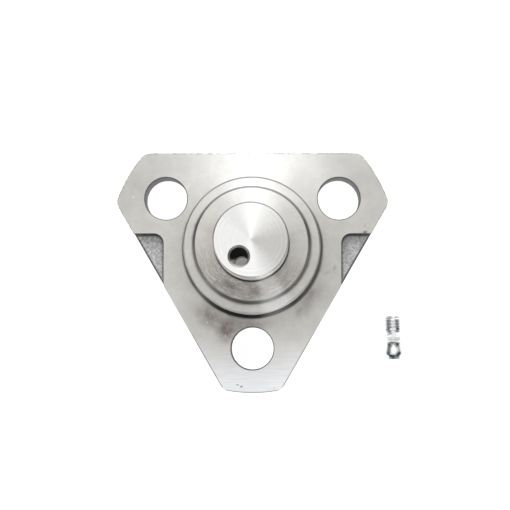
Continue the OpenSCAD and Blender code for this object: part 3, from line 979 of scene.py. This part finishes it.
# %% check spring
SPRING_FOOT, SPRING_TOP, BALL_TRAVEL = 0.70, 11.66, 0.8
spring = bpy.data.objects.new("check_spring", nodes["nipple_spring"].data.copy())
bpy.context.scene.collection.objects.link(spring)
pick(spring)
bpy.ops.object.mode_set(mode="EDIT")
bpy.ops.mesh.select_all(action="SELECT")
bpy.ops.mesh.remove_doubles(threshold=0.000001)
bpy.ops.object.mode_set(mode="OBJECT")
bpy.ops.object.shade_smooth_by_angle(angle=math.radians(62))
give(spring, spring_steel)
foot_spot = lies @ Vector((0, 0, SPRING_FOOT * MM))
nipple_way = (lies.to_3x3() @ Vector((0, 0, 1))).normalized()
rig.ride(spring, "pin")
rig.replaces(spring, "nipple_spring")
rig.slot(spring, "spring_steel")
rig.squash(spring, "check_ball_slide", axis=tuple(nipple_way), anchor=tuple(foot_spot),
          keep=1 - BALL_TRAVEL / (SPRING_TOP - SPRING_FOOT))
kept_share = spring["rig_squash"]["keep"]
print("spring:", len(spring.data.polygons), "faces, keeps", round(kept_share, 3), "of its length")

# %% [markdown]
# ## The studio
# The part lies on a plain white sweep. In the picture all round it is white, so the floor glows
# a little for the camera and still takes the part's shadow. Polished metal mostly shows what
# stands round it, so the studio needs shapes to reflect: a wide soft lamp at the far side, and
# dark cards at the other sides. The cards are seen only in reflections.

# %% studio helpers
def looked_at(tree):
    """1 for what the camera sees, also by reflection or through glass, and 0 for light that falls."""
    ray = add(tree, "LightPath").outputs
    return either(tree, ray["Is Camera Ray"], ray["Is Glossy Ray"], ray["Is Transmission Ray"])


# painted shadow: the floor's glow is weaker under the part's middle
DIM_R, LIT_R = 14.0, 24.0  # the floor is dimmer inside, where it shows through the grease passage


def plain(name, colour, glow=0.0):
    """A flat, dull colour. With a glow it looks lit, but less so close to its middle."""
    material, tree, shader = new_material(name, 0.9, 0.0)
    shader.inputs["Base Color"].default_value = (*colour, 1)
    if glow:
        # painted shadow: the glow is weaker close to the middle, under the part
        away = between(tree, vector_calc(tree, "LENGTH", millimetres(tree)), DIM_R, LIT_R)
        open_floor = calc(tree, "MULTIPLY_ADD", away, 0.75, 0.25)
        shader.inputs["Emission Color"].default_value = (1, 1, 1, 1)
        strength = both(tree, looked_at(tree), open_floor, glow)
        tree.links.new(strength, shader.inputs["Emission Strength"])
    return material


print("studio helpers ready")

# %% floor
bpy.ops.object.select_all(action="DESELECT")
bpy.ops.mesh.primitive_plane_add(size=6, location=(0, 0, -FLANGE_T * MM))
floor = bpy.context.object
floor.name = "floor"
give(floor, plain("white sweep", (0.8, 0.8, 0.8), 0.85))
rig.stage(floor)
print("floor at", floor.location.z)

# %% dark cards, seen only in reflections
CARDS = [  # direction in degrees, distance, width and height in metres
    (8, 0.50, 0.42, 0.66),
    (-38, 0.46, 0.44, 0.74),
    (-108, 0.44, 0.52, 0.78),
    (180, 0.55, 0.80, 0.70),
]
card_material = plain("dark card", (0.02, 0.02, 0.02))
for angle, away, width, height in CARDS:
    bpy.ops.mesh.primitive_plane_add(size=1)
    card = bpy.context.object
    card.name = f"card_{angle % 360}"
    card.dimensions = (width, height, 0)
    out = Vector((*round_the_axis(1, angle), 0))
    card.location = out * away + Vector((0, 0, height / 2 - FLANGE_T * MM))
    card.rotation_euler = (-out).to_track_quat("Z", "Y").to_euler()
    give(card, card_material)
    for ray in ("camera", "diffuse", "shadow", "transmission"):
        setattr(card, "visible_" + ray, False)
    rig.stage(card)
print(len(CARDS), "cards")


# %% lamps
def soft_lamp(name, spot, size, power):
    """An area lamp that faces the part, with its place and size in metres and its power in watts."""
    data = bpy.data.lights.new(name, "AREA")
    data.shape, data.energy = "RECTANGLE", power
    data.size, data.size_y = size
    lamp = bpy.data.objects.new(name, data)
    bpy.context.scene.collection.objects.link(lamp)
    lamp.location = spot
    lamp.rotation_euler = (-Vector(spot)).to_track_quat("-Z", "Y").to_euler()
    return lamp


lamps = [soft_lamp("far side", (0.01, 0.66, 0.80), (0.38, 0.50), 2.0),
         soft_lamp("left fill", (-0.62, 0.10, 0.80), (0.4, 0.5), 0.25)]
print(len(lamps), "lamps")

# %% world
world = bpy.data.worlds.new("studio")
bpy.context.scene.world = world
world.use_nodes = True
tree = world.node_tree
tree.nodes.clear()
brightness = calc(tree, "MULTIPLY_ADD", looked_at(tree), 0.4, 0.6)
light = add(tree, "Background", {"Color": (1, 1, 1, 1), "Strength": brightness})
sky = add(tree, "OutputWorld")
tree.links.new(light.outputs[0], sky.inputs["Surface"])
bpy.context.scene.view_settings.view_transform = "Standard"
print("studio lit")

# %% write the sizes and finish
bounds_at_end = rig.bounds()
with open("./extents.json", "w") as f:
    json.dump({"load": [list(c) for c in bounds_at_load], "end": [list(c) for c in bounds_at_end]}, f)
